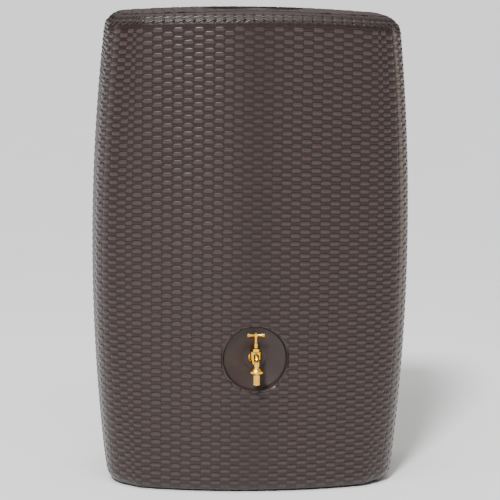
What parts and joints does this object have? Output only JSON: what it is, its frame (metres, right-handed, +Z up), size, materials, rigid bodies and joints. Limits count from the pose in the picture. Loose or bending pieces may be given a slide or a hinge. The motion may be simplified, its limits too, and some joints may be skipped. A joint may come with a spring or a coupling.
{
  "type": "slimline water tank",
  "caption": "Tall bow-fronted rainwater tank with a woven rattan look, a brass bib tap with hose tail in a round dish, and a lid in the top.",
  "frame": {"origin": "centre of the base's resting face, midway between the bowed front and the flat back", "axes": "+Z up, -Y towards the bowed front with the tap, +X to the right as seen by someone who looks along +Y"},
  "size_m": [0.796, 0.4587, 1.186],
  "materials": {
    "woven_plastic": "satin",
    "lid_plastic": "satin",
    "seal_rubber": "matte",
    "packing": "matte",
    "brass": "polished"
  },
  "bodies": {
    "tank": {"tank_body": "woven_plastic", "wall_insert": "brass", "tap_seal": "seal_rubber", "tap_body": "brass", "bonnet_gasket": "seal_rubber", "bonnet": "brass", "stem_packing": "packing", "packing_gland": "brass", "packing_nut": "brass", "union_seal": "seal_rubber", "hose_tail": "brass"},
    "cover": {"lid": "lid_plastic", "lid_seal": "seal_rubber"},
    "valve": {"valve_plate": "brass", "valve_washer": "seal_rubber", "washer_nut": "brass"},
    "tap_handle": {"spindle": "brass", "handle": "brass", "handle_screw": "brass"},
    "union": {"union_nut": "brass"}
  },
  "joints": [
    {"name": "lid_lift", "type": "slide", "parent": "tank", "child": "cover", "axis": [0, 0, 1], "range_m": [0, 0.06]},
    {"name": "valve_lift", "type": "slide", "parent": "tank", "child": "valve", "axis": [0, 0, 1], "range_m": [0, 0.006]},
    {"name": "handle_turn", "type": "hinge", "parent": "valve", "child": "tap_handle", "pos_m": [0, -0.209, 0.34], "axis": [0, 0, 1], "range_deg": [0, 1080]},
    {"name": "union_turn", "type": "hinge", "parent": "tank", "child": "union", "pos_m": [0, -0.241, 0.32], "axis": [0, 0, 1], "continuous": true}
  ],
  "couplings": [
    {"joint": "valve_lift", "follows": "handle_turn", "m_per_rad": 0.00031831}
  ]
}
